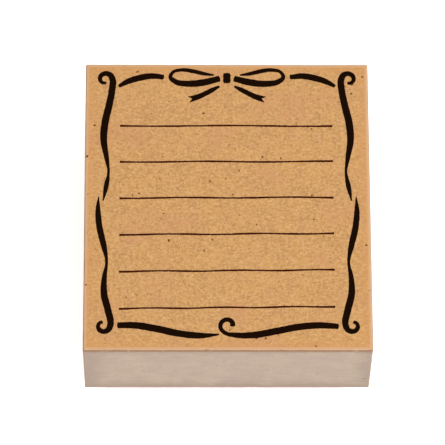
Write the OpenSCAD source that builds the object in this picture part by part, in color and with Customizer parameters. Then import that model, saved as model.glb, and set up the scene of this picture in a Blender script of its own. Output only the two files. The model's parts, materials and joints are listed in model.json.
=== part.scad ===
// Wood-mounted rubber stamp for writing-paper frames.
// A fibreboard block carries a foam cushion and a moulded rubber die underneath, and an index
// print of the die's design in ink on top. All sizes are in millimetres, +Z is up, +Y is the
// top of the design, and the origin is under the block's centre, on the face that prints.

/* [Block] */
// Width of the block, across the writing lines
block_w = 50; // [40:1:80]
// Depth of the block, along the column of lines
block_d = 54.5; // [44:0.5:90]
// Height of the block, the thickness of the board it is sawn from
block_h = 18; // [12:1:25]
// Radius that sanding leaves on the block's edges
edge_r = 0.4; // [0.2:0.1:2]

/* [Cushion and die] */
// Thickness of the foam cushion
foam_t = 3; // [1.5:0.5:5]
// Thickness of each adhesive film
film_t = 0.1; // [0.05:0.05:0.3]
// Thickness of the die's base sheet
sheet_t = 1.2; // [0.8:0.1:2]
// Height of the die's raised design
relief_h = 1; // [0.6:0.1:1.6]
// Rubber left round the design when the die is cut out
cut_margin = 0.4; // [0.2:0.1:0.6]
// Corner radius of the cut die and cushion
cut_r = 3; // [1:0.5:6]

/* [Design] */
// Thickness of the ribbons, as a factor
ribbon_weight = 1; // [0.7:0.05:1.1]
// Thickness of a writing line
line_w = 0.26; // [0.2:0.02:0.5]
// Distance from one writing line to the next, on a block 54.5 deep
line_pitch = 6.9; // [6:0.1:7]
// How deep the printed ink soaks into the board
ink_t = 0.05; // [0.02:0.01:0.1]

/* [Hidden] */
$fn = 48;

board_color = "#D3A069";
film_color = "#E9E2CC";
foam_color = "#D8D4CA";
rubber_color = "#9E4034";
ink_color = "#15120F";

// The stack, counted up from the printing face
relief_root_z = relief_h;
die_top_z = relief_root_z + sheet_t;
foam_bottom_z = die_top_z + film_t;
foam_top_z = foam_bottom_z + foam_t;
block_bottom_z = foam_top_z + film_t;
block_top_z = block_bottom_z + block_h;
// How far the raised design runs up into the base sheet, so that the two are one moulding
relief_root = 0.3;
// How far a cut runs past the face that it opens
clear = 0.5;

// The design is drawn for a block of this size and stretches with the block
art_w = 50;
art_d = 54.5;
// The box that all marks stay in, in the design's own coordinates
art_side = 23.1;
art_front = -25.1;
art_back = 26.6;

// Steps that a curve takes between two of its points
curve_steps = 5;
// Points along a curl
curl_points = 7;
// A mark is never thinner than this
min_mark_w = 0.14;
// How far the middle of a mark's end stands out, as a share of the mark's width there
cut_end = 0.12;
notched_end = -0.55;

// A curl: an arc that turns from angle a1 to a2 while its radius and width go from one to another
function curl(x, y, a1, a2, r1, r2, w1, w2) = [
    for (i = [0 : curl_points - 1])
        let (k = i / (curl_points - 1), a = a1 + (a2 - a1) * k, r = r1 + (r2 - r1) * k)
            [x + r * cos(a), y + r * sin(a), w1 + (w2 - w1) * k]
];

// Each mark is a row of [x, y, width] points along its middle. Those of the bow and of the
// ribbons at the top and sides are the right-hand ones, and the left-hand ones mirror them.
bow_loop = [
    [2.3, 25.1, 0.3], [3.8, 25.3, 0.65], [5.8, 25.8, 0.8], [7.9, 26.1, 0.7], [9.5, 25.7, 0.6],
    [10.0, 24.7, 0.75], [9.1, 23.8, 1.0], [7.0, 23.4, 1.2], [4.4, 23.6, 1.3], [1.3, 24.4, 1.15]
];
bow_tail = [
    [1.3, 22.9, 0.35], [2.4, 22.3, 0.85], [3.8, 21.5, 0.95], [5.2, 20.8, 1.05], [6.8, 20.3, 1.2]
];
bow_knot = [[0, 25.4, 1.15], [0, 25.0, 1.35], [0, 24.5, 1.25], [0, 24.0, 1.35], [0, 23.6, 1.15]];
top_ribbon = [
    [11.2, 24.7, 0.9], [13.4, 24.9, 1.15], [15.6, 24.5, 1.2], [17.6, 23.8, 1.05], [19.1, 22.9, 0.6]
];
upper_ribbon = concat(
    curl(21.5, 24.3, -100, 180, 0.8, 1.25, 0.55, 1.15),
    [
        [20.3, 22.2, 1.2], [20.8, 19.2, 1.25], [21.5, 15.8, 1.3], [21.7, 12.4, 1.2],
        [21.2, 9.2, 0.85], [20.8, 6.4, 0.45], [21.2, 3.6, 0.85], [21.7, 0.8, 0.2]
    ]
);
lower_ribbon = concat(
    [
        [22.5, 1.6, 0.15], [22.6, -0.8, 0.85], [22.3, -4.2, 1.1], [21.5, -7.8, 1.0],
        [21.0, -10.8, 0.5], [21.4, -13.8, 0.9], [21.4, -16.8, 1.2], [20.7, -19.8, 1.2]
    ],
    curl(21.5, -22.7, 180, 440, 1.2, 0.75, 1.1, 0.55)
);
bottom_left_ribbon = [
    [-19.0, -22.6, 1.1], [-16.0, -22.6, 1.25], [-12.5, -23.2, 1.3], [-8.5, -24.1, 1.25],
    [-4.8, -24.5, 1.1], [-1.6, -24.3, 0.3]
];
bottom_right_ribbon = concat(
    curl(0, -22.6, -10, 250, 0.8, 1.5, 0.9, 0.7),
    [
        [1.2, -24.4, 0.95], [4.4, -24.4, 1.2], [8.2, -23.7, 1.25], [12.2, -22.9, 1.25],
        [15.8, -22.6, 1.2], [19.0, -22.8, 1.0]
    ]
);

// The six writing lines are ruled by hand, each a little more uphill than the one above
line_count = 6;
line_first_y = 15.2;
line_start_x = -18.8;
line_end_x = 18.5;
line_points = 16;
line_tilt = 0.12;
line_end_swell = 1.35;
// A line wavers up and down this far, in waves that get shorter from the first line to the last
line_waver = 0.07;
waver_turn = 11;
waver_turn_more = 3;
waver_start = 80;
// A line's width swells and thins by this share from one of its points to the next
swell_share = 0.15;
swell_turn = 95;
swell_start = 70;

// The place of a point without its width
function flat(q) = [q[0], q[1]];
function unit(v) = v / norm(v);
// The distance from point i to the next
function gap(p, i) = norm(flat(p[i + 1] - p[i]));

// How a mark's place and width change per millimetre at point i, from the points on both sides
function slope(p, i) =
    i == 0 ? (p[1] - p[0]) / gap(p, 0)
    : i == len(p) - 1 ? (p[i] - p[i - 1]) / gap(p, i - 1)
    : ((p[i] - p[i - 1]) * gap(p, i) / gap(p, i - 1) + (p[i + 1] - p[i]) * gap(p, i - 1) / gap(p, i))
        / (gap(p, i - 1) + gap(p, i));

// The point at t on a cubic that leaves a with slope u and meets b with slope v
function cubic(a, b, u, v, t) =
    a + u * t + (3 * (b - a) - 2 * u - v) * t * t + (u + v - 2 * (b - a)) * t * t * t;

// A smooth curve through all points of a mark
function smooth(p) = [
    for (i = [0 : len(p) - 2])
        let (u = slope(p, i) * gap(p, i), v = slope(p, i + 1) * gap(p, i))
            for (s = [0 : curve_steps - 1]) cubic(p[i], p[i + 1], u, v, s / curve_steps),
    p[len(p) - 1]
];

function mirrored(p) = [for (q = p) [-q[0], q[1], q[2]]];

// The same mark on this block's size, with at least the least width
function fitted(p) = [
    for (q = p) [q[0] * block_w / art_w, q[1] * block_d / art_d, max(q[2] * ribbon_weight, min_mark_w)]
];

// The direction of a curve at point i
function heading(c, i) = unit(flat(c[min(i + 1, len(c) - 1)]) - flat(c[max(i - 1, 0)]));
// The point that lies beside point i of a curve, half the mark's width to its left or right
function beside(c, i, side) =
    flat(c[i]) + side * c[i][2] / 2 * [-heading(c, i)[1], heading(c, i)[0]];
// The middle of a mark's first end, which stands a little out of it
function tail(c) = flat(c[0]) - cut_end * c[0][2] * heading(c, 0);
// The middle of a mark's last end, which stands out of it or is notched into it
function tip(c, shape) = flat(c[len(c) - 1]) + shape * c[len(c) - 1][2] * heading(c, len(c) - 1);

// The outline of a mark: up its left side, round its tip and back down its right side
function outline(c, shape) = concat(
    [tail(c)],
    [for (i = [0 : len(c) - 1]) beside(c, i, 1)],
    [tip(c, shape)],
    [for (i = [len(c) - 1 : -1 : 0]) beside(c, i, -1)]
);

// The height on the page of writing line n at x, counted from the top of the design
function line_y(n, x) =
    line_first_y - (n - 1) * line_pitch + x * tan(line_tilt * (n - 1))
    + line_waver * sin(x * (waver_turn + waver_turn_more * n) + waver_start * n);
// The width of line n at its point i
function line_width(n, i) =
    line_w * (
        i == 0 || i == line_points ? line_end_swell
        : 1 + swell_share * sin(swell_turn * i + swell_start * n)
    );
function writing_line(n) = [
    for (i = [0 : line_points])
        let (x = line_start_x + (line_end_x - line_start_x) * i / line_points)
            [x, line_y(n, x), line_width(n, i) / ribbon_weight]
];

module mark(points, shape = cut_end) {
    polygon(outline(fitted(smooth(points)), shape));
}

module rounded_rect(w, d, r) {
    square([w - 2 * r, d], center = true);
    square([w, d - 2 * r], center = true);
    for (x = [-1, 1], y = [-1, 1])
        translate([x * (w / 2 - r), y * (d / 2 - r)]) circle(r);
}

// The outline that the die, the cushion and the films are cut to
module cut_outline() {
    half_w = art_side * block_w / art_w + cut_margin;
    front = art_front * block_d / art_d - cut_margin;
    back = art_back * block_d / art_d + cut_margin;
    translate([0, (front + back) / 2]) rounded_rect(2 * half_w, back - front, cut_r);
}

// All marks of the design
module design() {
    mark(bow_knot);
    mark(bottom_left_ribbon);
    mark(bottom_right_ribbon);
    for (points = [bow_loop, top_ribbon, upper_ribbon, lower_ribbon]) {
        mark(points);
        mark(mirrored(points));
    }
    mark(bow_tail, notched_end);
    mark(mirrored(bow_tail), notched_end);
    for (n = [1 : line_count]) mark(writing_line(n));
}

// One mark of the index print, soaked into the board so that it is flush with its face
module print_mark(points, shape = cut_end) {
    color(ink_color)
        translate([0, 0, block_top_z - ink_t])
            linear_extrude(ink_t) mark(points, shape);
}

// A block sanded round along all twelve edges: three rounded bars that cross
module sanded_block() {
    intersection() {
        linear_extrude(block_h, center = true)
            rounded_rect(block_w, block_d, edge_r);
        rotate([90, 0, 0])
            linear_extrude(block_d, center = true)
                rounded_rect(block_w, block_h, edge_r);
        rotate([0, 90, 0])
            linear_extrude(block_w, center = true)
                rounded_rect(block_h, block_d, edge_r);
    }
}

// The block without the skin of board that the ink fills
module mount_block() {
    color(board_color)
        difference() {
            translate([0, 0, block_bottom_z + block_h / 2]) sanded_block();
            translate([0, 0, block_top_z - ink_t])
                linear_extrude(ink_t + clear) design();
        }
}

module block_adhesive() {
    color(film_color)
        translate([0, 0, foam_top_z])
            linear_extrude(film_t) cut_outline();
}

module foam_cushion() {
    color(foam_color)
        translate([0, 0, foam_bottom_z])
            linear_extrude(foam_t) cut_outline();
}

module die_adhesive() {
    color(film_color)
        translate([0, 0, die_top_z])
            linear_extrude(film_t) cut_outline();
}

// The sheet and the raised design are moulded in one piece
module rubber_die() {
    color(rubber_color)
        union() {
            translate([0, 0, relief_root_z])
                linear_extrude(sheet_t) cut_outline();
            linear_extrude(relief_h + relief_root) design();
        }
}

module index_bow_left_loop() { print_mark(mirrored(bow_loop)); }
module index_bow_right_loop() { print_mark(bow_loop); }
module index_bow_knot() { print_mark(bow_knot); }
module index_bow_left_tail() { print_mark(mirrored(bow_tail), notched_end); }
module index_bow_right_tail() { print_mark(bow_tail, notched_end); }
module index_ribbon_top_left() { print_mark(mirrored(top_ribbon)); }
module index_ribbon_top_right() { print_mark(top_ribbon); }
module index_ribbon_left_upper() { print_mark(mirrored(upper_ribbon)); }
module index_ribbon_left_lower() { print_mark(mirrored(lower_ribbon)); }
module index_ribbon_right_upper() { print_mark(upper_ribbon); }
module index_ribbon_right_lower() { print_mark(lower_ribbon); }
module index_ribbon_bottom_left() { print_mark(bottom_left_ribbon); }
module index_ribbon_bottom_right() { print_mark(bottom_right_ribbon); }
module index_line(n) { print_mark(writing_line(n)); }

mount_block();
block_adhesive();
foam_cushion();
die_adhesive();
rubber_die();
index_bow_left_loop();
index_bow_right_loop();
index_bow_knot();
index_bow_left_tail();
index_bow_right_tail();
index_ribbon_top_left();
index_ribbon_top_right();
index_ribbon_left_upper();
index_ribbon_left_lower();
index_ribbon_right_upper();
index_ribbon_right_lower();
index_ribbon_bottom_left();
index_ribbon_bottom_right();
index_line(1);  // index_line_1
index_line(2);  // index_line_2
index_line(3);  // index_line_3
index_line(4);  // index_line_4
index_line(5);  // index_line_5
index_line(6);  // index_line_6
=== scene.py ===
"""Looks of a wood-mounted rubber stamp: sawn fibreboard, index ink, film, foam and moulded rubber.

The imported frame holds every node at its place, in metres, and stands on its printing face at
z = 0 with +Y towards the bow. Each class below makes and dresses one sub-assembly around it.
"""

import json
import logging
import math
import random
from dataclasses import dataclass
from enum import Enum
from typing import Any, Iterable, Sequence

import bmesh
import bpy
from mathutils import Matrix, Vector, kdtree, noise


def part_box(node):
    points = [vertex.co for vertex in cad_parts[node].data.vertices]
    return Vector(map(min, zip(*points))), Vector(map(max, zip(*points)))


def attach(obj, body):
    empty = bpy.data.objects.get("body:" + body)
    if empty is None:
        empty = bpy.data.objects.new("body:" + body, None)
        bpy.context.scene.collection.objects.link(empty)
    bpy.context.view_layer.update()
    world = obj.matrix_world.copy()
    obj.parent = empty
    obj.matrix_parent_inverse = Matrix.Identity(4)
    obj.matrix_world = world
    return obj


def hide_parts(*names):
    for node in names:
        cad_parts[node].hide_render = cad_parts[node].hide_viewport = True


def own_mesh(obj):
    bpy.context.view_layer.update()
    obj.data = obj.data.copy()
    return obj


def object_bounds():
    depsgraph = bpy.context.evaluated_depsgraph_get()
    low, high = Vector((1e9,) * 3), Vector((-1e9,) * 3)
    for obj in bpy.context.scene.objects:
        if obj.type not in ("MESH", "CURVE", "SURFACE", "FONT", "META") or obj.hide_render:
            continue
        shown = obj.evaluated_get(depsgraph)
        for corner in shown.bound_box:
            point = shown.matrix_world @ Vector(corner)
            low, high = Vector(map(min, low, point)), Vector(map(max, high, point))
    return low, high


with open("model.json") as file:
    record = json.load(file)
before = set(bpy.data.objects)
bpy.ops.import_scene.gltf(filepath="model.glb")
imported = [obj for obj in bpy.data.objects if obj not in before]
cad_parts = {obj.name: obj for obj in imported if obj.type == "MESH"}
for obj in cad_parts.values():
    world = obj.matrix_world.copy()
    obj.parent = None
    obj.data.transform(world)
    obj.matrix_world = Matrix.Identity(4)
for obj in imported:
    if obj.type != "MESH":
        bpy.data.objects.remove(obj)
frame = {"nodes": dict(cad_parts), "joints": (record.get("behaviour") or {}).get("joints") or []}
CAD_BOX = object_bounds()

LOG = logging.getLogger("rubber_stamp")
MM = 0.001
MICRON = 1e-6
# The least that the cosine of half a corner's turn counts as, so that an inset there stays short
SHARPEST = 0.7

Loop = list[Vector]
Colour = tuple[float, float, float, float]


class Body(Enum):
    """The two bodies of the stamp, which the cushion lets come closer together."""

    DIE = "die"
    MOUNT = "mount"


class Slot(Enum):
    """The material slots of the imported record."""

    FIBREBOARD = "fibreboard"
    INK = "index_ink"
    FOAM = "foam"
    ADHESIVE = "adhesive"
    RUBBER = "die_rubber"


# ---------------------------------------------------------------------------- node building


def srgb(red: int, green: int, blue: int) -> Colour:
    """Turns a display colour into the linear colour that a shader takes.

    Args:
        red: Red, from 0 to 255.
        green: Green, from 0 to 255.
        blue: Blue, from 0 to 255.

    Returns:
        The linear colour with an alpha of 1.
    """
    parts = [c / 255 for c in (red, green, blue)]
    linear = [c / 12.92 if c <= 0.04045 else ((c + 0.055) / 1.055) ** 2.4 for c in parts]
    return (linear[0], linear[1], linear[2], 1.0)


class Value:
    """A socket that carries one number, so that node maths reads as Python maths."""

    def __init__(self, nodes: "Nodes", socket: bpy.types.NodeSocket) -> None:
        """Wraps a socket.

        Args:
            nodes: The builder of the tree that the socket is in.
            socket: The output socket.
        """
        self.nodes = nodes
        self.socket = socket

    def __add__(self, other: "Value | float") -> "Value":
        """self + other."""
        return self.nodes.maths("ADD", self, other)

    def __sub__(self, other: "Value | float") -> "Value":
        """self - other."""
        return self.nodes.maths("SUBTRACT", self, other)

    def __rsub__(self, other: float) -> "Value":
        """other - self."""
        return self.nodes.maths("SUBTRACT", other, self)

    def __mul__(self, other: "Value | float") -> "Value":
        """self * other."""
        return self.nodes.maths("MULTIPLY", self, other)

    def __truediv__(self, other: "Value | float") -> "Value":
        """self / other."""
        return self.nodes.maths("DIVIDE", self, other)

    __radd__ = __add__
    __rmul__ = __mul__

    def most(self, other: "Value | float") -> "Value":
        """The larger of self and other."""
        return self.nodes.maths("MAXIMUM", self, other)

    def step(self, low: float, high: float) -> "Value":
        """Rises smoothly from 0 to 1 while self goes from low to high, or falls if low is above high.

        Args:
            low: Where the result is 0.
            high: Where the result is 1.

        Returns:
            The smooth step.
        """
        start, end, first, last = (low, high, 0.0, 1.0) if low < high else (high, low, 1.0, 0.0)
        sockets = {0: self, 1: start, 2: end, 3: first, 4: last}
        return self.nodes.field("ShaderNodeMapRange", sockets, interpolation_type="SMOOTHSTEP")


class Nodes:
    """Makes the nodes of one tree."""

    def __init__(self, tree: bpy.types.NodeTree) -> None:
        """Takes the tree to build in.

        Args:
            tree: A shader or geometry node tree.
        """
        self.tree = tree

    def make(self, kind: str, sockets: dict[Any, Any] | None = None, **settings: Any) -> bpy.types.Node:
        """Makes one node.

        Args:
            kind: The node's type.
            sockets: Constants, or the values, sockets or nodes that feed its inputs, by name or number.
            **settings: Its properties, set first.

        Returns:
            The node.
        """
        node = self.tree.nodes.new(kind)
        for name, setting in settings.items():
            setattr(node, name, setting)
        for key, value in (sockets or {}).items():
            source = value.socket if isinstance(value, Value) else value
            source = source.outputs[0] if isinstance(source, bpy.types.Node) else source
            if isinstance(source, bpy.types.NodeSocket):
                self.tree.links.new(source, node.inputs[key])
            else:
                node.inputs[key].default_value = source
        return node

    def field(
        self, kind: str, sockets: dict[Any, Any] | None = None, output: Any = 0, **settings: Any
    ) -> Value:
        """Makes one node for the number that it gives.

        Args:
            kind: The node's type.
            sockets: As for make.
            output: The name or number of the output.
            **settings: As for make.

        Returns:
            The output as a value.
        """
        return Value(self, self.make(kind, sockets, **settings).outputs[output])

    def maths(self, operation: str, *values: "Value | float") -> Value:
        """Makes a Math node.

        Args:
            operation: The node's operation.
            *values: Its inputs in order.

        Returns:
            The result.
        """
        return self.field("ShaderNodeMath", dict(enumerate(values)), operation=operation)

    def mix(self, factor: "Value | float", first: Any, second: Any) -> bpy.types.NodeSocket:
        """Mixes two colours.

        Args:
            factor: 0 gives the first colour and 1 the second.
            first: A colour or a colour socket.
            second: A colour or a colour socket.

        Returns:
            The mixed colour's socket.
        """
        return self.make("ShaderNodeMix", {0: factor, 6: first, 7: second}, data_type="RGBA").outputs[2]


class Shader(Nodes):
    """Builds one material around a Principled surface, with patterns on Object coordinates."""

    def __init__(self, name: str) -> None:
        """Starts a material.

        Args:
            name: The material's name.
        """
        self.material = bpy.data.materials.new(name)
        self.material.use_nodes = True
        super().__init__(self.material.node_tree)
        self.tree.nodes.clear()
        self.place = self.make("ShaderNodeTexCoord").outputs["Object"]

    def axis(self, name: str) -> Value:
        """One Object coordinate in metres.

        Args:
            name: "X", "Y" or "Z".

        Returns:
            That coordinate.
        """
        return self.field("ShaderNodeSeparateXYZ", {0: self.place}, name)

    def facing_up(self, normal: str = "Normal") -> Value:
        """How far the surface looks up.

        Args:
            normal: "Normal" for the smoothed surface or "True Normal" for the flat faces themselves.

        Returns:
            1 on top, 0 on a side and -1 underneath.
        """
        direction = self.make("ShaderNodeNewGeometry").outputs[normal]
        return self.field("ShaderNodeSeparateXYZ", {0: direction}, "Z")

    def turned(self, degrees: tuple[float, float, float], stretch: tuple[float, float, float]) -> Any:
        """Object coordinates turned and stretched, for a pattern with a direction.

        Args:
            degrees: The turn about each axis.
            stretch: The scale along each axis.

        Returns:
            The coordinates' socket.
        """
        turn = tuple(math.radians(d) for d in degrees)
        sockets = {"Vector": self.place, "Rotation": turn, "Scale": stretch}
        return self.make("ShaderNodeMapping", sockets).outputs[0]

    def grain(self, size: float, detail: float = 3.0, rough: float = 0.5, place: Any = None) -> Value:
        """A soft random pattern.

        Args:
            size: The size of its blotches in metres.
            detail: How many finer layers it has.
            rough: How strong the finer layers are.
            place: Coordinates to use instead of the piece's own.

        Returns:
            The pattern, from 0 to 1 with a middle of 0.5.
        """
        sockets = {"Vector": place or self.place, "Scale": 1 / size, "Detail": detail, "Roughness": rough}
        return self.field("ShaderNodeTexNoise", sockets)

    def cells(self, size: float) -> Value:
        """A pattern of random cells.

        Args:
            size: The size of a cell in metres.

        Returns:
            The distance from each cell's point, in cells.
        """
        return self.field("ShaderNodeTexVoronoi", {"Vector": self.place, "Scale": 1 / size}, "Distance")

    def layered(self, colour: Any, *layers: tuple[Value, float, float, float, Colour]) -> Any:
        """Lays tints over a colour, one after another.

        Args:
            colour: The colour underneath, or its socket.
            *layers: For each tint its pattern, the pattern's values where the tint is absent and
                where it is full, its greatest strength, and the tint itself.

        Returns:
            The colour's socket.
        """
        for pattern, absent, full, strength, tint in layers:
            colour = self.mix(pattern.step(absent, full) * strength, colour, tint)
        return colour

    def finish(
        self, colour: Any, roughness: Any, relief: Value | None = None, depth: float = 0.0, **constants: Any
    ) -> bpy.types.Material:
        """Closes the material.

        Args:
            colour: The base colour or its socket.
            roughness: The roughness or its value.
            relief: Height pattern for the bump, from 0 to 1.
            depth: What a height of 1 stands for, in metres.
            **constants: Other inputs of the surface, with _ for a space in their names.

        Returns:
            The material.
        """
        sockets: dict[str, Any] = {"Base Color": colour, "Roughness": roughness}
        if relief is not None:
            sockets["Normal"] = self.make("ShaderNodeBump", {"Height": relief, "Distance": depth})
        for name, constant in constants.items():
            sockets[name.replace("_", " ")] = constant
        surface = self.make("ShaderNodeBsdfPrincipled", sockets)
        self.make("ShaderNodeOutputMaterial", {"Surface": surface})
        return self.material


class GeometryTree(Nodes):
    """A geometry node tree with named inputs, which turns an object's mesh into a plain result."""

    SOCKETS = {float: "NodeSocketFloat", int: "NodeSocketInt", bpy.types.Material: "NodeSocketMaterial"}

    def __init__(self, name: str, inputs: dict[str, type]) -> None:
        """Starts a tree that takes a mesh and the named inputs.

        Args:
            name: The tree's name.
            inputs: The type of each named input.
        """
        super().__init__(bpy.data.node_groups.new(name, "GeometryNodeTree"))
        face = self.tree.interface
        face.new_socket("Geometry", in_out="OUTPUT", socket_type="NodeSocketGeometry")
        face.new_socket("Geometry", in_out="INPUT", socket_type="NodeSocketGeometry")
        self.identifiers = {
            key: face.new_socket(key, in_out="INPUT", socket_type=self.SOCKETS[kind]).identifier
            for key, kind in inputs.items()
        }
        self.given = self.make("NodeGroupInput").outputs

    def value(self, name: str) -> Value:
        """A named number input as a value."""
        return Value(self, self.given[name])

    def vectors(self, operation: str, first: Any, second: Any) -> bpy.types.Node:
        """Makes a Vector Math node.

        Args:
            operation: The node's operation.
            first: A vector or what gives it.
            second: A vector or what gives it, or the number that the first is scaled by.

        Returns:
            The node.
        """
        key = "Scale" if operation == "SCALE" else 1
        return self.make("ShaderNodeVectorMath", {0: first, key: second}, operation=operation)

    def parts(self, vector: Any) -> list[Value]:
        """The three parts of a vector as values."""
        return [Value(self, part) for part in self.make("ShaderNodeSeparateXYZ", {0: vector}).outputs]

    def chance(self, low: float, high: float, seed: Value, whole: bool = False) -> Value:
        """A random number for each point.

        Args:
            low: The least that it can be.
            high: The most that it can be.
            seed: The seed.
            whole: Whether it is a whole number.

        Returns:
            The number.
        """
        kind, first, output = ("INT", 4, 2) if whole else ("FLOAT", 2, 1)
        sockets = {first: low, first + 1: high, "Seed": seed}
        return self.field("FunctionNodeRandomValue", sockets, output, data_type=kind)

    def close(self, geometry: bpy.types.Node) -> None:
        """Ends the tree: instances become mesh, and the Material input dresses it.

        Args:
            geometry: The node that gives the geometry.
        """
        real = self.make("GeometryNodeRealizeInstances", {0: geometry})
        sockets = {"Geometry": real, "Material": self.given["Material"]}
        dressed = self.make("GeometryNodeSetMaterial", sockets)
        self.make("NodeGroupOutput", {0: dressed})

    def run(self, piece: bpy.types.Object, values: dict[str, Any]) -> None:
        """Replaces a piece's mesh with the tree's result on it.

        Args:
            piece: The object, whose mesh is the tree's input.
            values: A value for each named input.
        """
        modifier = piece.modifiers.new(self.tree.name, "NODES")
        modifier.node_group = self.tree
        for name, value in values.items():
            modifier[self.identifiers[name]] = value
        graph = bpy.context.evaluated_depsgraph_get()
        result = bpy.data.meshes.new_from_object(piece.evaluated_get(graph))
        piece.modifiers.remove(modifier)
        piece.data = result
        result.name = piece.name


# ---------------------------------------------------------------------------- mesh building


def add_piece(name: str, mesh: bpy.types.Mesh) -> bpy.types.Object:
    """Puts a mesh in the scene as an object at the origin.

    Args:
        name: The piece's name.
        mesh: Its mesh, already in place.

    Returns:
        The object.
    """
    piece = bpy.data.objects.new(name, mesh)
    bpy.context.scene.collection.objects.link(piece)
    return piece


def mesh_of(name: str, points: Sequence[Vector], faces: Sequence[Sequence[int]]) -> bpy.types.Mesh:
    """Makes a mesh from points and faces, with faces outwards.

    Args:
        name: The mesh's name.
        points: Its points.
        faces: The numbers of each face's points.

    Returns:
        The mesh.
    """
    mesh = bpy.data.meshes.new(name)
    mesh.from_pydata([tuple(p) for p in points], [], faces)
    shape = bmesh.new()
    shape.from_mesh(mesh)
    bmesh.ops.recalc_face_normals(shape, faces=shape.faces)
    shape.to_mesh(mesh)
    shape.free()
    return mesh


def settle(piece: bpy.types.Object, body: Body, stands_for: Iterable[str] = ()) -> None:
    """Tells the frame what a piece rides on and what it stands for, whose CAD nodes it hides.

    Args:
        piece: The finished piece.
        body: The body that it moves with.
        stands_for: The CAD nodes that it replaces.
    """
    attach(piece, body.value)
    for node in stands_for:
        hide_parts(node)
    LOG.info("%s rides on %s: %d faces", piece.name, body.value, len(piece.data.polygons))


def outlines(node: str, height: float) -> list[Loop]:
    """Finds the outlines of a CAD node's flat faces at a height.

    Args:
        node: The node's name.
        height: The faces' height.

    Returns:
        Each closed outline as points in order, counter-clockwise from above.
    """
    shape = bmesh.new()
    shape.from_mesh(frame["nodes"][node].data)
    bmesh.ops.remove_doubles(shape, verts=shape.verts, dist=MICRON / 10)
    level = [f for f in shape.faces if all(abs(v.co.z - height) < MICRON for v in f.verts)]
    chosen = set(level)
    rim = [e for e in shape.edges if sum(f in chosen for f in e.link_faces) == 1]
    beside: dict[bmesh.types.BMVert, list[bmesh.types.BMEdge]] = {}
    for edge in rim:
        for vert in edge.verts:
            beside.setdefault(vert, []).append(edge)
    found: list[Loop] = []
    unused = dict.fromkeys(rim)
    while unused:
        edge = next(iter(unused))
        start, vert = edge.verts
        loop = [start.co.copy()]
        del unused[edge]
        while vert is not start:
            loop.append(vert.co.copy())
            edge = next(e for e in beside[vert] if e in unused)
            del unused[edge]
            vert = edge.other_vert(vert)
        found.append(loop if signed_area(loop) > 0 else loop[::-1])
    shape.free()
    return found


def signed_area(loop: Loop) -> float:
    """The area inside a loop seen from above, negative if it runs clockwise."""
    pairs = zip(loop, loop[1:] + loop[:1])
    return sum(a.x * b.y - b.x * a.y for a, b in pairs) / 2


def resampled(loop: Loop, step: float) -> Loop:
    """Puts evenly spaced points along a closed loop.

    Args:
        loop: The loop's points.
        step: About how far apart the new points are.

    Returns:
        The new loop.
    """
    ends = loop[1:] + loop[:1]
    lengths = [(b - a).length for a, b in zip(loop, ends)]
    total = sum(lengths)
    count = max(8, round(total / step))
    result: Loop = []
    index, passed = 0, 0.0
    for i in range(count):
        target = total * i / count
        while passed + lengths[index] < target:
            passed += lengths[index]
            index += 1
        share = (target - passed) / lengths[index]
        result.append(loop[index].lerp(ends[index], share))
    return result


def outward(loop: Loop) -> list[Vector]:
    """Finds the outward direction at each point of a loop, which is longer at a sharp corner.

    Args:
        loop: The loop's points, counter-clockwise from above.

    Returns:
        The directions, each as long as it takes to move both its sides out by 1, up to a limit.
    """
    directions = []
    for before, here, after in zip(loop[-1:] + loop[:-1], loop, loop[1:] + loop[:1]):
        first = Vector((here.y - before.y, before.x - here.x, 0)).normalized()
        second = Vector((after.y - here.y, here.x - after.x, 0)).normalized()
        middle = (first + second).normalized()
        directions.append(middle / max(middle.dot(first), SHARPEST))
    return directions


def skinned(shape: bmesh.types.BMesh, rings: Sequence[Loop]) -> list[list[bmesh.types.BMVert]]:
    """Adds smooth walls between rings of equal length.

    Args:
        shape: The mesh to add to.
        rings: The rings in order.

    Returns:
        The points of each ring.
    """
    stack = [[shape.verts.new(point) for point in ring] for ring in rings]
    for first, second in zip(stack, stack[1:]):
        for i in range(len(first)):
            shape.faces.new((first[i - 1], first[i], second[i], second[i - 1])).smooth = True
    return stack


def finished(name: str, shape: bmesh.types.BMesh, material: bpy.types.Material) -> bpy.types.Object:
    """Turns a shape's faces outwards and makes it a piece.

    Args:
        name: The piece's name.
        shape: The closed shape, which is used up.
        material: Its material.

    Returns:
        The piece.
    """
    bmesh.ops.recalc_face_normals(shape, faces=shape.faces)
    mesh = bpy.data.meshes.new(name)
    shape.to_mesh(mesh)
    shape.free()
    mesh.materials.append(material)
    return add_piece(name, mesh)


# ---------------------------------------------------------------------------- finishes


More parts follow.
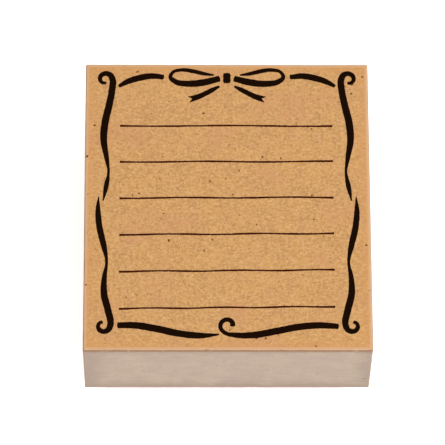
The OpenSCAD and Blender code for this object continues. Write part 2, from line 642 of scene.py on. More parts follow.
@dataclass(frozen=True)
class BoardFinish:
    """Medium-density fibreboard: a sanded face, and paler, greyer sawn sides with dense skins."""

    face: Colour = srgb(171, 126, 76)
    face_gold: Colour = srgb(182, 136, 78)
    face_pale: Colour = srgb(200, 157, 106)
    face_dark: Colour = srgb(142, 98, 54)
    rim: Colour = srgb(184, 131, 79)
    blush: Colour = srgb(178, 126, 86)
    # Paler eased edge colour: partly edge wear, partly a painted highlight along the top edges
    eased: Colour = srgb(190, 155, 122)
    side: Colour = srgb(153, 134, 120)
    side_pale: Colour = srgb(163, 145, 127)
    side_dark: Colour = srgb(128, 112, 99)
    blush_side: Colour = srgb(159, 136, 124)
    skin: Colour = srgb(145, 125, 109)
    # Painted shade for the dark band just below the top edge on the sides
    top_edge_shade: Colour = srgb(132, 99, 72)
    fibre: float = 0.3 * MM
    mottle: float = 0.5 * MM
    rim_width: float = 2.6 * MM
    highlit_wear_start: float = 0.8 * MM
    highlit_wear_full: float = 0.4 * MM
    # Reach of the grime at the upright corners and of the painted shade towards the foot
    grime_and_shade_width: float = 3.5 * MM
    skin_depth: float = 3.0 * MM
    shade_band_depth: float = 0.5 * MM
    smudge: float = 3.2 * MM
    layer: float = 0.9 * MM
    dust: float = 0.22 * MM
    streak: float = 1.3 * MM

    def _fibres(self, shader: Shader, size: float) -> Value:
        """Short fibres that lie every way: a stretched grain at three angles, the strongest showing.

        Args:
            shader: The material's builder.
            size: The width of a fibre.

        Returns:
            The fibres, from 0 to 1.
        """
        layers = [
            shader.grain(size, 2.0, 0.55, shader.turned((20 * turn, 15 * turn, 62 * turn), (0.32, 1.0, 1.0)))
            for turn in (-1, 0.12, 1)
        ]
        return layers[0].most(layers[1]).most(layers[2])

    def _face(self, shader: Shader, fibres: Value, hollows: Value, gaps: Sequence[Value]) -> Any:
        """Colours the sanded face, which is more orange near its rim.

        Args:
            shader: The material's builder.
            fibres: The pattern of fibres.
            hollows: The pattern of hollows between them.
            gaps: The distances to the block's nearer side along X and Y.

        Returns:
            The colour's socket.
        """
        mottle = shader.grain(self.mottle, 4.0, 0.7)
        cloud = shader.grain(16 * self.mottle, 3.0, 0.6)
        patch = shader.grain(4 * self.mottle, 3.0, 0.6)
        inward = shader.maths("MINIMUM", *gaps)
        ragged = inward / self.rim_width + (cloud - 0.5) * 2 + (mottle - 0.5) * 0.8
        # The paler band along the top edges is partly edge wear and partly a painted highlight
        worn = inward + (mottle - 0.5) * self.highlit_wear_full
        return shader.layered(
            self.face,
            (patch, 0.38, 0.62, 0.7, self.face_gold),
            (mottle, 0.45, 0.68, 0.6, self.face_pale),
            (mottle, 0.5, 0.3, 0.45, self.face_dark),
            (fibres, 0.55, 0.74, 0.6, self.face_pale),
            # Painted shade in the hollows that the bump sinks
            (hollows, 0.48, 0.3, 0.45, self.face_dark),
            (cloud, 0.5, 0.7, 0.55, self.blush),
            (ragged, 1.1, 0.0, 0.6, self.rim),
            (worn, self.highlit_wear_start, self.highlit_wear_full, 0.5, self.eased),
        )

    def _side(
        self, shader: Shader, fine: Value, hollows: Value, depth: Value, skin: Value, grime_and_foot_shade: Value
    ) -> Any:
        """Colours the sawn sides, denser by the board's faces, grimy by the upright corners and darker towards
        the foot with painted shade.

        Args:
            shader: The material's builder.
            fine: The pattern of fine fibres.
            hollows: The pattern of hollows between them.
            depth: The depth below the sanded face.
            skin: The distance to the nearer of the board's two faces.
            grime_and_foot_shade: The distance to the nearest upright corner or the lower face.

        Returns:
            The colour's socket.
        """
        smudge = shader.grain(self.smudge, 4.0, 0.62)
        layers = shader.grain(self.layer, 4.0, 0.7, shader.turned((0, 0, 0), (0.14, 0.14, 1.6)))
        dust = shader.grain(self.dust, 3.0, 0.7)
        streak = shader.grain(self.streak, 4.0, 0.7, shader.turned((0, 0, 0), (1, 1, 0.25)))
        colour = shader.layered(
            self.side,
            (smudge, 0.35, 0.65, 0.7, self.side_pale),
            (layers, 0.5, 0.68, 0.4, self.side_pale),
            (layers, 0.48, 0.32, 0.25, self.side_dark),
            (dust, 0.5, 0.3, 0.4, self.side_dark),
            (dust, 0.54, 0.7, 0.35, self.side_pale),
            # Painted shade in the hollows of the sawn sides, which the bump sinks
            (hollows, 0.46, 0.3, 0.3, self.side_dark),
            (smudge, 0.46, 0.32, 0.4, self.blush_side),
            (fine, 0.6, 0.75, 0.35, self.side_pale),
            (skin / self.skin_depth + (smudge - 0.5), 1.0, 0.1, 0.5, self.skin),
            # Grime by the upright corners, and painted shade darkening the sides towards the foot
            (grime_and_foot_shade / self.grime_and_shade_width + (smudge - 0.5), 1.2, 0.1, 0.45, self.side_dark),
        )
        # Painted shade: a dark band on the sides just below the eased top edge, broken by streaks
        under_edge_shade = (depth / self.shade_band_depth + (streak - 0.5) * 1.8).step(2.2, 1.2)
        return shader.mix(under_edge_shade * streak.step(0.24, 0.46) * 0.9, colour, self.top_edge_shade)

    def material(self, low: Vector, high: Vector) -> bpy.types.Material:
        """Builds the material.

        Args:
            low: The block's lowest corner.
            high: The block's highest corner, on the sanded face.

        Returns:
            The material.
        """
        shader = Shader("fibreboard")
        fibres = self._fibres(shader, self.fibre)
        fine = self._fibres(shader, self.fibre / 2.2)
        hollows = shader.grain(self.fibre, 3.0, 0.7)
        height = shader.axis("Z")
        depth = high.z - height
        skin = shader.maths("MINIMUM", depth, height - low.z)
        gaps = [limit - shader.maths("ABSOLUTE", shader.axis(name)) for name, limit in zip("XY", high)]
        face = self._face(shader, fibres, hollows, gaps)
        # Distance to an upright corner, for grime, or to the lower face, for painted shade
        grime_and_foot_shade = shader.maths("MINIMUM", shader.maths("MAXIMUM", *gaps), height - low.z)
        side = self._side(shader, fine, hollows, depth, skin, grime_and_foot_shade)
        upright = (1 - shader.maths("ABSOLUTE", shader.facing_up())) * (0.4 + fibres)
        on_side = upright.step(0.08, 0.28)
        # The paler colour on the eased curve is partly edge wear and partly a painted highlight
        on_ease = upright.step(0.006, 0.06) * 0.8
        colour = shader.mix(on_side, shader.mix(on_ease, face, self.eased), side)
        rough = 0.72 + 0.12 * on_side + (fibres - 0.5) * 0.18
        # The hollows that carry painted shade in the colour also sink the bump here
        relief = fine * 0.5 + hollows * 0.5
        return shader.finish(colour, rough, relief, 22 * MICRON, Specular_IOR_Level=0.3)


@dataclass(frozen=True)
class FibreFinish:
    """A single sort of fibre or fleck in the board."""

    name: str
    colour: Colour
    other: Colour
    on_side: Colour

    def material(self) -> bpy.types.Material:
        """Builds the material, whose colour drifts from fibre to fibre and is greyer on a sawn side.

        Returns:
            The material.
        """
        shader = Shader(self.name)
        drift = shader.grain(2.5 * MM, 2.0)
        colour = shader.mix(drift.step(0.35, 0.65), self.colour, self.other)
        flat = shader.maths("ABSOLUTE", shader.facing_up("True Normal")).step(0.4, 0.7)
        return shader.finish(
            shader.mix(flat, self.on_side, colour), 0.75 + 0.1 * drift, Specular_IOR_Level=0.08
        )


@dataclass(frozen=True)
class InkFinish:
    """Dried stamping ink, which the board's fibres show through where it is thin."""

    name: str
    colour: Colour
    thin: Colour
    coverage: float

    def material(self) -> bpy.types.Material:
        """Builds the material.

        Returns:
            The material.
        """
        shader = Shader(self.name)
        patch = shader.grain(0.5 * MM, 4.0, 0.65)
        speckle = shader.grain(0.12 * MM, 2.0)
        worn = patch.step(self.coverage, self.coverage + 0.18) * 0.8
        rough = 0.62 + 0.25 * patch
        return shader.finish(
            shader.mix(worn, self.colour, self.thin), rough, speckle, 9 * MICRON, Specular_IOR_Level=0.012
        )


@dataclass(frozen=True)
class FoamFinish:
    """Closed-cell foam, off-white, a little yellowed."""

    colour: Colour = srgb(203, 198, 187)
    # Yellowed with age, and also painted shade in the cell pits
    aged_and_pit_shade: Colour = srgb(184, 172, 148)
    cell: float = 0.3 * MM

    def material(self) -> bpy.types.Material:
        """Builds the material.

        Returns:
            The material.
        """
        shader = Shader("closed_cell_foam")
        distance = shader.cells(self.cell)
        age = shader.grain(6 * MM, 3.0)
        # Yellowing with age, and painted shade in the cell pits that the bump sinks
        colour = shader.layered(
            self.colour, (age, 0.4, 0.68, 0.6, self.aged_and_pit_shade), (distance, 0.45, 0.1, 0.35, self.aged_and_pit_shade)
        )
        return shader.finish(
            colour, 0.85 - 0.1 * distance, distance, 45 * MICRON,
            Subsurface_Weight=0.15, Subsurface_Scale=0.4 * MM,
        )


@dataclass(frozen=True)
class FilmFinish:
    """Double-sided acrylic film, amber and tacky, with dust along its cut edge."""

    colour: Colour = srgb(222, 203, 156)
    dust: Colour = srgb(168, 158, 140)

    def material(self) -> bpy.types.Material:
        """Builds the material.

        Returns:
            The material.
        """
        shader = Shader("acrylic_film")
        dusty = shader.grain(0.7 * MM, 4.0, 0.7).step(0.5, 0.64)
        colour = shader.mix(dusty * 0.6, self.colour, self.dust)
        return shader.finish(colour, 0.3 + 0.4 * dusty, Coat_Weight=0.2)


@dataclass(frozen=True)
class RubberFinish:
    """Red stamp rubber, cloudy with filler and with a soft moulded skin."""

    colour: Colour = srgb(142, 48, 38)
    cloudy: Colour = srgb(160, 68, 54)
    chalk: Colour = srgb(186, 122, 104)

    def material(self) -> bpy.types.Material:
        """Builds the material.

        Returns:
            The material.
        """
        shader = Shader("red_rubber")
        cloud = shader.grain(3.5 * MM, 4.0, 0.6)
        skin = shader.grain(0.16 * MM, 3.0, 0.6)
        bloom = shader.grain(1.2 * MM, 5.0, 0.75)
        colour = shader.layered(
            self.colour, (cloud, 0.38, 0.66, 0.6, self.cloudy), (bloom, 0.58, 0.75, 0.35, self.chalk)
        )
        rough = 0.48 + 0.28 * bloom
        return shader.finish(colour, rough, skin, 14 * MICRON, Sheen_Weight=0.15, Sheen_Roughness=0.5)


# ---------------------------------------------------------------------------- sub-assemblies


@dataclass
class Board:
    """The mounting block: a sawn and sanded block of fibreboard with eased, slightly worn edges."""

    edge_r: float = 0.32 * MM
    lower_edge_r: float = 0.18 * MM
    edge_zone: float = 0.8 * MM
    fine: float = 0.08 * MM
    coarse: float = 0.5 * MM
    radius_drift: float = 0.4
    drift_size: float = 2.2 * MM
    ripple_size: float = 0.5 * MM
    saw_wave: float = 14 * MICRON
    saw_size: float = 1.3 * MM
    saw_stretch: float = 8.0
    nicks: int = 14
    nick_r: float = 0.4 * MM
    nick_depth: float = 0.08 * MM
    seed: int = 7

    def _stops(self, half: float) -> list[float]:
        """Grid lines along one axis: close together by the edges and further apart between them.

        Args:
            half: Half the block's size along the axis.

        Returns:
            The places of the lines, from -half to half.
        """
        edge = round(self.edge_zone / self.fine)
        middle = round(2 * (half - self.edge_zone) / self.coarse)
        inner = half - self.edge_zone
        low = [-half + self.edge_zone * i / edge for i in range(edge)]
        between = [-inner + 2 * inner * i / middle for i in range(middle + 1)]
        return low + between + [-v for v in reversed(low)]

    def _grid(self, half: Vector) -> tuple[list[Vector], list[list[int]]]:
        """The six sides of a box as one welded grid.

        Args:
            half: Half the box's size.

        Returns:
            The points and the faces.
        """
        lines = [self._stops(half[axis]) for axis in range(3)]
        numbers: dict[tuple[int, int, int], int] = {}
        points: list[Vector] = []
        faces: list[list[int]] = []

        def number(key: tuple[int, int, int]) -> int:
            """Numbers the point at a grid place, which is made when it is first asked for.

            Args:
                key: The grid line along each axis.

            Returns:
                The point's number.
            """
            if key not in numbers:
                numbers[key] = len(points)
                points.append(Vector(lines[axis][key[axis]] for axis in range(3)))
            return numbers[key]

        for axis in range(3):
            first, second = (axis + 1) % 3, (axis + 2) % 3
            for end in (0, len(lines[axis]) - 1):
                for i in range(len(lines[first]) - 1):
                    for j in range(len(lines[second]) - 1):
                        corners = []
                        for di, dj in ((0, 0), (1, 0), (1, 1), (0, 1)):
                            key = [0, 0, 0]
                            key[axis], key[first], key[second] = end, i + di, j + dj
                            corners.append(number((key[0], key[1], key[2])))
                        faces.append(corners)
        return points, faces

    def _nick_places(self, half: Vector) -> list[Vector]:
        """Picks places along the edges where the board has been knocked.

        Args:
            half: Half the block's size.

        Returns:
            The places, from the block's centre.
        """
        draw = random.Random(self.seed)
        places = []
        for _ in range(self.nicks):
            along = draw.randrange(3)
            place = Vector(draw.choice((-1, 1)) * half[axis] for axis in range(3))
            place[along] = draw.uniform(-0.95, 0.95) * half[along]
            places.append(place)
        return places

    def _worn(self, point: Vector, half: Vector, nicks: Sequence[Vector]) -> Vector:
        """Rounds a point of the box grid and wears it.

        Args:
            point: The point on the box.
            half: Half the box's size.
            nicks: The centres of the nicks.

        Returns:
            The point's place on the worn block, never outside the box.
        """
        drift = noise.noise(point / self.drift_size) + 0.5 * noise.noise(point / self.ripple_size)
        rise = 0.5 + 0.5 * point.z / half.z
        eased = self.lower_edge_r + (self.edge_r - self.lower_edge_r) * rise
        radius = eased * (1 + self.radius_drift * drift)
        core = Vector(max(-half[a] + radius, min(half[a] - radius, point[a])) for a in range(3))
        lean = (point - core).normalized()
        place = core + lean * radius
        stretched = Vector((point.x, point.y, point.z / self.saw_stretch))
        wave = 1 + noise.noise(stretched / self.saw_size)
        place -= lean * self.saw_wave * (1 - abs(lean.z)) * wave
        for nick in nicks:
            near = (place - nick).length / self.nick_r
            if near < 1:
                place += (-nick).normalized() * self.nick_depth * (1 - near) ** 2 * (2 + drift)
        return place

    def build(self) -> bpy.types.Object:
        """Makes the block and dresses it.

        Returns:
            The finished piece.
        """
        low, high = (Vector(v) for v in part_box("mount_block"))
        centre, half = (low + high) / 2, (high - low) / 2
        points, faces = self._grid(half)
        nicks = self._nick_places(half)
        mesh = mesh_of("mount_block_board", [centre + self._worn(p, half, nicks) for p in points], faces)
        mesh.shade_smooth()
        mesh.materials.append(BoardFinish().material(low, high))
        piece = add_piece("mount_block_board", mesh)
        settle(piece, Body.MOUNT, ["mount_block"])
        return piece


@dataclass(frozen=True)
class FibreSort:
    """One sort of fibre scattered over the board."""

    name: str
    finish: FibreFinish
    per_square_mm: float
    length: float
    width: float
    thickness: float
    bend: float
    side_share: float
    seed: int


@dataclass
class BoardFibres:
    """Loose fibres and bark flecks pressed into the board's surface."""

    sorts: tuple[FibreSort, ...] = (
        FibreSort(
            "pale_fibres",
            FibreFinish("pale_fibre", srgb(204, 163, 114), srgb(194, 150, 98), srgb(168, 150, 132)),
            0.22, 1.3 * MM, 0.08 * MM, 12 * MICRON, 1.0, 0.6, 11,
        ),
        FibreSort(
            "tan_fibres",
            FibreFinish("tan_fibre", srgb(144, 101, 58), srgb(156, 112, 68), srgb(140, 121, 106)),
            0.16, 0.6 * MM, 0.09 * MM, 11 * MICRON, 0.5, 0.8, 23,
        ),
        FibreSort(
            "bark_flecks",
            FibreFinish("bark_fleck", srgb(92, 52, 20), srgb(122, 74, 34), srgb(124, 102, 86)),
            0.021, 0.42 * MM, 0.3 * MM, 14 * MICRON, 0.1, 0.1, 37,
        ),
    )
    bends: tuple[float, ...] = (-0.5, -0.2, 0.12, 0.34, 0.7)
    ring: int = 4
    joints: int = 5
    # The width at a tip and the clearance are shares; upward and dead_flat are cosines
    tip: float = 0.25
    growth: tuple[float, float] = (0.45, 1.35)
    clearance: float = 0.7
    upward: float = 0.9
    dead_flat: float = 0.9995

    def _tree(self) -> GeometryTree:
        """Builds the scatter: bent, tapered slivers laid flat on the faces, each turned its own way.

        Returns:
            The tree.
        """
        tree = GeometryTree(
            "fibre_scatter",
            {
                "Density": float, "Side Share": float, "Length": float, "Width": float, "Thickness": float,
                "Bend": float, "Seed": int, "Material": bpy.types.Material,
            },
        )
        slivers = tree.make("GeometryNodeJoinGeometry")
        profile = tree.make("GeometryNodeCurvePrimitiveCircle", {"Resolution": self.ring, "Radius": 0.5})
        slimness = tree.value("Width") / tree.value("Length")
        for bend in self.bends:
            middle = tree.make("ShaderNodeCombineXYZ", {"Y": tree.value("Bend") * bend})
            line = tree.make(
                "GeometryNodeCurveQuadraticBezier",
                {"Resolution": self.joints, "Start": (-0.5, 0, 0), "Middle": middle, "End": (0.5, 0, 0)},
            )
            along = tree.field("GeometryNodeSplineParameter")
            scale = (tree.maths("SINE", along * math.pi) * (1 - self.tip) + self.tip) * slimness
            body = tree.make(
                "GeometryNodeCurveToMesh",
                {"Curve": line, "Profile Curve": profile, "Scale": scale, "Fill Caps": True},
            )
            single = tree.make("GeometryNodeGeometryToInstance", {0: body})
            tree.tree.links.new(single.outputs[0], slivers.inputs[0])
        points = tree.make(
            "GeometryNodeDistributePointsOnFaces",
            {
                "Mesh": tree.given["Geometry"], "Selection": self._clear_of_edges(tree),
                "Density": self._density(tree), "Seed": tree.given["Seed"],
            },
            distribute_method="RANDOM",
        )
        self._lay(tree, slivers, points)
        return tree

    def _density(self, tree: GeometryTree) -> Value:
        """How many fibres there are for each square metre, which is less on the sawn sides.

        Args:
            tree: The tree.

        Returns:
            The density.
        """
        upright = tree.parts(tree.make("GeometryNodeInputNormal"))[2]
        on_face = tree.maths("GREATER_THAN", tree.maths("ABSOLUTE", upright), self.upward)
        share = tree.value("Side Share")
        return tree.value("Density") * (share + on_face * (1 - share))

    def _clear_of_edges(self, tree: GeometryTree) -> Value:
        """Marks the places where a fibre can't hang over an edge of the block.

        Args:
            tree: The tree.

        Returns:
            1 where a fibre may lie.
        """
        bounds = tree.make("GeometryNodeBoundBox", {0: tree.given["Geometry"]})
        position, normals = (tree.make(f"GeometryNodeInput{what}") for what in ("Position", "Normal"))
        vectors = (position, normals, bounds.outputs["Min"], bounds.outputs["Max"])
        margin = tree.value("Length") * self.clearance
        allowed = None
        for place, normal, low, high in zip(*(tree.parts(vector) for vector in vectors)):
            room = tree.maths("MINIMUM", place - low, high - place)
            inside = tree.maths("GREATER_THAN", room, margin)
            facing = tree.maths("GREATER_THAN", tree.maths("ABSOLUTE", normal), self.dead_flat)
            free = inside.most(facing)
            allowed = free if allowed is None else allowed * free
        return allowed

    def _lay(self, tree: GeometryTree, slivers: bpy.types.Node, points: bpy.types.Node) -> None:
        """Lays a sliver at each point, turned and sized by chance, and ends the tree.

        Args:
            tree: The tree so far.
            slivers: The node that gives the slivers.
            points: The node that gives the points.
        """
        seed = tree.value("Seed")
        spin = tree.make("ShaderNodeCombineXYZ", {"Z": tree.chance(0.0, math.tau, seed)})
        local = tree.make("FunctionNodeEulerToRotation", {0: spin})
        laid = tree.make(
            "FunctionNodeRotateRotation",
            {"Rotation": points.outputs["Rotation"], "Rotate By": local}, rotation_space="LOCAL",
        )
        long = tree.value("Length") * tree.chance(*self.growth, seed + 1)
        thick = tree.value("Thickness") * tree.value("Length") / tree.value("Width")
        scale = tree.make("ShaderNodeCombineXYZ", {"X": long, "Y": long, "Z": thick})
        pick = tree.chance(0, len(self.bends) - 1, seed + 2, whole=True)
        placed = tree.make(
            "GeometryNodeInstanceOnPoints",
            {
                "Points": points.outputs["Points"], "Instance": slivers, "Pick Instance": True,
                "Instance Index": pick, "Rotation": laid, "Scale": scale,
            },
        )
        tree.close(placed)

    def build(self, board: bpy.types.Object) -> None:
        """Scatters every sort of fibre over the board.

        Args:
            board: The dressed block.
        """
        tree = self._tree()
        for sort in self.sorts:
            piece = add_piece(sort.name, board.data.copy())
            tree.run(
                piece,
                {
                    "Density": sort.per_square_mm / MM**2, "Side Share": sort.side_share,
                    "Length": sort.length, "Width": sort.width, "Thickness": sort.thickness,
                    "Bend": sort.bend, "Seed": sort.seed, "Material": sort.finish.material(),
                },
            )
            settle(piece, Body.MOUNT)


@dataclass
class IndexPrint:
    """The design stamped on the block in black ink, as one film of ink for each mark."""

    proud: float = 16 * MICRON
    step: float = 0.06 * MM
    feather: float = 26 * MICRON
    blot: float = 22 * MICRON
    feather_size: float = 0.11 * MM
    blot_size: float = 0.6 * MM
    noise_gain: float = 4.0
    line_bleed: float = 30 * MICRON
    ribbon_ink: InkFinish = InkFinish("black_ink", srgb(20, 8, 2), srgb(36, 20, 9), 0.6)
    line_ink: InkFinish = InkFinish("thin_black_ink", srgb(52, 14, 2), srgb(90, 36, 10), 0.54)

    def _tree(self) -> GeometryTree:
        """Builds the print: an outline that feathers into the fibres, filled and given its thickness.

        Returns:
            The tree.
        """
        tree = GeometryTree(
            "ink_film",
            {
                "Step": float, "Feather": float, "Blot": float, "Bleed": float, "Height": float,
                "Thickness": float, "Material": bpy.types.Material,
            },
        )
        curve = tree.make("GeometryNodeMeshToCurve", {0: tree.given["Geometry"]})
        spacing = {"Curve": curve, "Length": tree.given["Step"]}
        even = tree.make("GeometryNodeResampleCurve", spacing, mode="LENGTH")
        place = tree.make("GeometryNodeInputPosition")
        outwards = tree.vectors("CROSS_PRODUCT", tree.make("GeometryNodeInputTangent"), (0, 0, 1))
        shift = tree.vectors("SCALE", outwards, tree.value("Bleed"))
        for size, amount in ((self.feather_size, "Feather"), (self.blot_size, "Blot")):
            drift = tree.make("ShaderNodeTexNoise", {"Vector": place, "Scale": 1 / size, "Detail": 1.0})
            centred = tree.vectors("SUBTRACT", drift.outputs[1], (0.5, 0.5, 0.5))
            scaled = tree.vectors("SCALE", centred, tree.value(amount) * self.noise_gain)
            shift = tree.vectors("ADD", shift, scaled)
        ragged = tree.make("GeometryNodeSetPosition", {"Geometry": even, "Offset": shift})
        filled = tree.make("GeometryNodeFillCurve", {0: ragged}, mode="TRIANGLES")
        lift = tree.make("ShaderNodeCombineXYZ", {"Z": tree.given["Height"]})
        lifted = tree.make("GeometryNodeTransform", {"Geometry": filled, "Translation": lift})
        raised = tree.make(
            "GeometryNodeExtrudeMesh",
            {"Mesh": lifted, "Offset Scale": tree.given["Thickness"], "Offset": (0, 0, 1), "Individual": False},
            mode="FACES",
        )
        under = tree.make("GeometryNodeFlipFaces", {0: lifted})
        both = tree.make("GeometryNodeJoinGeometry")
        for part in (raised, under):
            tree.tree.links.new(part.outputs[0], both.inputs[0])
        welded = tree.make("GeometryNodeMergeByDistance", {"Geometry": both, "Distance": MICRON / 5})
        tree.close(welded)
        return tree

    def build(self) -> None:
        """Makes one film for each mark of the index."""
        tree = self._tree()
        inks = {False: self.ribbon_ink.material(), True: self.line_ink.material()}
        for node in sorted(n for n in frame["nodes"] if n.startswith("index_")):
            low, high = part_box(node)
            loop = outlines(node, high[2])[0]
            flat = bpy.data.meshes.new(node)
            count = len(loop)
            flat.from_pydata([(p.x, p.y, 0) for p in loop], [(i, (i + 1) % count) for i in range(count)], [])
            piece = add_piece(node.replace("index", "print"), flat)
            tree.run(
                piece,
                {
                    "Step": self.step, "Feather": self.feather, "Blot": self.blot,
                    "Bleed": self.line_bleed if "line" in node else 0.0, "Height": low[2],
                    "Thickness": high[2] - low[2] + self.proud, "Material": inks["line" in node],
                },
            )
            settle(piece, Body.MOUNT, [node])


@dataclass
class Cushion:
    """The foam sheet between the block and the die, whose cut edge shows its cells."""

    step: float = 0.12 * MM
    rows: int = 26
    cell: float = 0.34 * MM
    pit: float = 0.11 * MM
    waist: float = 0.1 * MM
    clear: float = 0.02 * MM
    cell_gain: float = 2.5
    taper: float = 3.0

    def _inset(self, place: Vector, share: float) -> float:
        """How far the cut edge lies inside the outline.

        Args:
            place: The place on the outline.
            share: The height in the sheet, from 0 to 1.

        Returns:
            The depth in metres.
        """
        near = noise.voronoi(place / self.cell)[0]
        wall = min(1.0, (near[1] - near[0]) * self.cell_gain)
        grown = math.sin(math.pi * share)
        return self.clear + self.waist * grown + self.pit * wall * min(1.0, self.taper * grown)

    def build(self) -> None:
        """Makes the foam sheet at its full thickness; the real sheet is squeezed when the block is pressed."""
        low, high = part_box("foam_cushion")
        loop = resampled(outlines("foam_cushion", high[2])[0], self.step)
        out = outward(loop)
        rings: list[Loop] = []
        for row in range(self.rows + 1):
            share = row / self.rows
            height = low[2] + (high[2] - low[2]) * share
            ring = []
            for point, direction in zip(loop, out):
                place = Vector((point.x, point.y, height))
                ring.append(place - direction * self._inset(place, share))
            rings.append(ring)
        shape = bmesh.new()
        stack = skinned(shape, rings)
        for end in (stack[0], stack[-1]):
            shape.faces.new(end)
        piece = finished("foam_cushion_sheet", shape, FoamFinish().material())
        press = next(j for j in frame["joints"] if j["name"] == "cushion_press")
        travel = press["range_m"][1]
        thick = high[2] - low[2]
        settle(piece, Body.DIE, ["foam_cushion"])
        (thick - travel) / thick
        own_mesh(piece)


@dataclass
class RubberDie:
    """The moulded die: a base sheet, and a raised design whose walls lean out to a broad foot."""

    step: float = 0.25 * MM
    mark_step: float = 0.12 * MM
    cut_drift: float = 0.05 * MM
    cut_size: float = 1.8 * MM
    cut_stretch: float = 3.0
    lip: float = 0.06 * MM
    room_used: float = 0.9
    # How far the wall of a mark stands outside its printing face, at shares of the design's height
    wall: tuple[tuple[float, float], ...] = (
        (0.0, -0.02 * MM), (0.03, 0.0), (0.45, 0.06 * MM),
        (0.75, 0.12 * MM), (0.92, 0.2 * MM), (1.0, 0.3 * MM),
    )

    def _sheet_rings(self, bottom: float, top: float) -> list[Loop]:
        """The edge of the base sheet, cut out by hand.

        Args:
            bottom: The height of the face that the design stands on.
            top: The height of the glued face.

        Returns:
            The rings of the edge, from the bottom to the top.
        """
        loop = resampled(outlines("rubber_die", top)[0], self.step)
        out = outward(loop)
        insets = {bottom: self.lip, bottom + self.lip: 0.0, top - self.lip / 2: 0.0, top: self.lip / 2}
        rings = []
        for height, inset in insets.items():
            ring = []
            for point, direction in zip(loop, out):
                stretched = Vector((point.x, point.y, height / self.cut_stretch))
                drift = 0.5 + 0.5 * noise.noise(stretched / self.cut_size)
                ring.append(Vector((point.x, point.y, height)) - direction * (inset + self.cut_drift * drift))
            rings.append(ring)
        return rings

    def _room(self, marks: Sequence[Loop], edge: Loop) -> list[list[float]]:
        """Finds how far the wall of each mark can lean out.

        The room at a point is the radius of the largest circle that touches the outline there and
        holds no other point of an outline, so walls that stay within their room can't cross.

        Args:
            marks: The outlines of the printing faces.
            edge: The outline of the base sheet.

        Returns:
            The room at each point of each mark.
        """
        flat = [[Vector((p.x, p.y, 0)) for p in loop] for loop in (*marks, edge)]
        widest = self.wall[-1][1] / self.room_used
        tree = kdtree.KDTree(sum(len(loop) for loop in flat))
        for number, point in enumerate(p for loop in flat for p in loop):
            tree.insert(point, number)
        tree.balance()
        rooms = []
        for loop in flat[:-1]:
            room = []
            for point, direction in zip(loop, outward(loop)):
                ahead = direction.normalized()
                near = [(q - point, gap) for q, _, gap in tree.find_range(point, 2 * widest)]
                radii = [gap**2 / (2 * ahead.dot(way)) for way, gap in near if ahead.dot(way) > MICRON]
                room.append(min(radii, default=widest))
            rooms.append([min(three) for three in zip(room[-1:] + room[:-1], room, room[1:] + room[:1])])
        return rooms

    def _mark_rings(self, loop: Loop, room: Sequence[float], height: float) -> list[Loop]:
        """The wall of one raised mark.

        Args:
            loop: The outline of its printing face.
            room: How far the wall may lean out at each point.
            height: The height of the design.

        Returns:
            The rings of the wall, from the printing face to the foot.
        """
        rings = []
        for share, reach in self.wall:
            lean = [min(reach, self.room_used * r / d.length) for r, d in zip(room, outward(loop))]
            places = zip(loop, outward(loop), lean)
            rings.append([Vector((p.x, p.y, share * height)) + d * far for p, d, far in places])
        return rings

    def build(self) -> None:
        """Makes the die as one closed moulding."""
        low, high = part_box("rubber_die")
        heights = sorted({round(v.co.z, 7) for v in frame["nodes"]["rubber_die"].data.vertices})
        root = heights[1]
        marks = [resampled(loop, self.mark_step) for loop in outlines("rubber_die", low[2])]
        edge = self._sheet_rings(root, high[2])
        shape = bmesh.new()
        sheet = skinned(shape, edge)
        shape.faces.new(sheet[-1])
        feet = [sheet[0]]
        for loop, room in zip(marks, self._room(marks, edge[0])):
            mark = skinned(shape, self._mark_rings(loop, room, root))
            shape.faces.new(mark[0])
            feet.append(mark[-1])
        rim = [shape.edges.get((foot[i - 1], foot[i])) for foot in feet for i in range(len(foot))]
        bmesh.ops.triangle_fill(shape, use_beauty=True, edges=rim)
        piece = finished("rubber_die_moulding", shape, RubberFinish().material())
        settle(piece, Body.DIE, ["rubber_die"])


@dataclass
class AdhesiveFilms:
    """The two films that hold the cushion, dressed on their CAD nodes."""

    nodes: tuple[str, ...] = ("block_adhesive", "die_adhesive")

    def build(self) -> None:
        """Gives both films their finish."""
        material = FilmFinish().material()
        for node in self.nodes:
            data = frame["nodes"][node].data
            data.materials.clear()
            data.materials.append(material)
            LOG.info("%s keeps its CAD shape", node)


# ---------------------------------------------------------------------------- studio


@dataclass(frozen=True)
class Lamp:
    """A square area light that looks at the stamp."""

    name: str
    place: tuple[float, float, float]
    side: float
    watts: float

    def build(self) -> None:
        """Hangs the light."""
        data = bpy.data.lights.new(self.name, "AREA")
        data.size = self.side
        data.energy = self.watts
        lamp = bpy.data.objects.new(self.name, data)
        lamp.location = self.place
        lamp.rotation_euler = (-Vector(self.place)).to_track_quat("-Z", "Y").to_euler()
        bpy.context.scene.collection.objects.link(lamp)


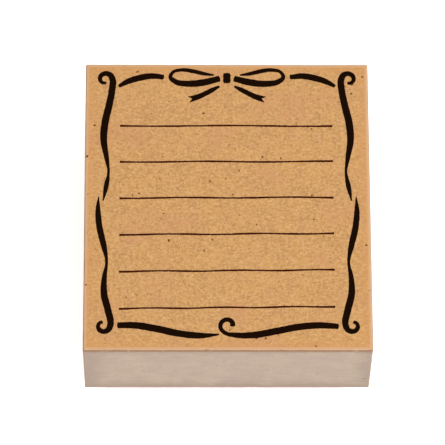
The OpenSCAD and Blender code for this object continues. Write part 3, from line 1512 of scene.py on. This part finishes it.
@dataclass
class Studio:
    """A pale floor, soft lights and the camera above the front edge."""

    elevation: float = 66.76
    yaw: float = -1.52
    roll: float = 1.42
    distance: float = 675 * MM
    lens_mm: float = 312.75506
    sensor_mm: float = 36.0
    clip: tuple[float, float] = (0.01, 20.0)
    aim_right: float = -0.79 * MM
    aim_up: float = -3.07 * MM
    sky: Colour = (1.0, 0.998, 0.995, 1.0)
    sky_strength: float = 0.9
    lamps: tuple[Lamp, ...] = (
        Lamp("key", (0.95, -0.3, 0.75), 0.8, 14.2),
        Lamp("fill", (-0.1, -0.9, 0.35), 0.6, 1.2),
    )
    floor_half: float = 3.0
    floor_colour: Colour = srgb(252, 252, 252)
    floor_light: Colour = srgb(255, 255, 255)
    floor_glow: float = 0.36

    def camera(self) -> None:
        """Makes the camera, which is aimed near the middle of the block's top face."""
        low, high = (Vector(v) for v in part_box("mount_block"))
        target = Vector(((low.x + high.x) / 2, (low.y + high.y) / 2, high.z))
        tilt, turn, roll = (math.radians(a) for a in (self.elevation, self.yaw, self.roll))
        back = Vector((math.sin(turn) * math.cos(tilt), -math.cos(turn) * math.cos(tilt), math.sin(tilt)))
        right = (-back).cross(Vector((0, 0, 1))).normalized()
        up = right.cross(-back)
        place = target + right * self.aim_right + up * self.aim_up + back * self.distance
        rolled_right = right * math.cos(roll) + up * math.sin(roll)
        rolled_up = up * math.cos(roll) - right * math.sin(roll)
        data = bpy.data.cameras.new("camera")
        data.sensor_width = self.sensor_mm
        data.lens = self.lens_mm
        data.clip_start, data.clip_end = self.clip
        data.dof.use_dof = False
        camera = bpy.data.objects.new("camera", data)
        axes = zip(rolled_right, rolled_up, back, place)
        camera.matrix_world = Matrix([tuple(row) for row in axes] + [(0, 0, 0, 1)])
        bpy.context.scene.collection.objects.link(camera)
        bpy.context.scene.camera = camera

    def lights(self) -> None:
        """Makes a pale sky, a broad key light and a low front fill."""
        world = bpy.data.worlds.new("soft_room")
        world.use_nodes = True
        nodes = Nodes(world.node_tree)
        world.node_tree.nodes.clear()
        sky = nodes.make("ShaderNodeBackground", {"Color": self.sky, "Strength": self.sky_strength})
        nodes.make("ShaderNodeOutputWorld", {"Surface": sky})
        bpy.context.scene.world = world
        for lamp in self.lamps:
            lamp.build()

    def floor(self) -> None:
        """Makes the floor that the stamp stands on."""
        half, height = self.floor_half, CAD_BOX[0][2]
        corners = [Vector((x * half, y * half, height)) for x, y in ((-1, -1), (1, -1), (1, 1), (-1, 1))]
        mesh = mesh_of("floor", corners, [[0, 1, 2, 3]])
        shader = Shader("pale_floor")
        speckle = shader.grain(4 * MM, 2.0)
        mesh.materials.append(
            shader.finish(
                self.floor_colour, 0.85 + 0.08 * speckle, Specular_IOR_Level=0.1,
                Emission_Color=self.floor_light, Emission_Strength=self.floor_glow,
            )
        )
        add_piece("floor", mesh)

    def build(self) -> None:
        """Sets the stage."""
        self.camera()
        self.lights()
        self.floor()
        view = bpy.context.scene.view_settings
        view.view_transform = "Standard"
        view.look = "None"


def main() -> None:
    """Builds every sub-assembly in order."""
    Studio().build()
    board = Board().build()
    BoardFibres().build(board)
    IndexPrint().build()
    Cushion().build()
    AdhesiveFilms().build()
    RubberDie().build()


if __name__ == "__main__":
    logging.basicConfig(level=logging.INFO, format="%(message)s")
    main()
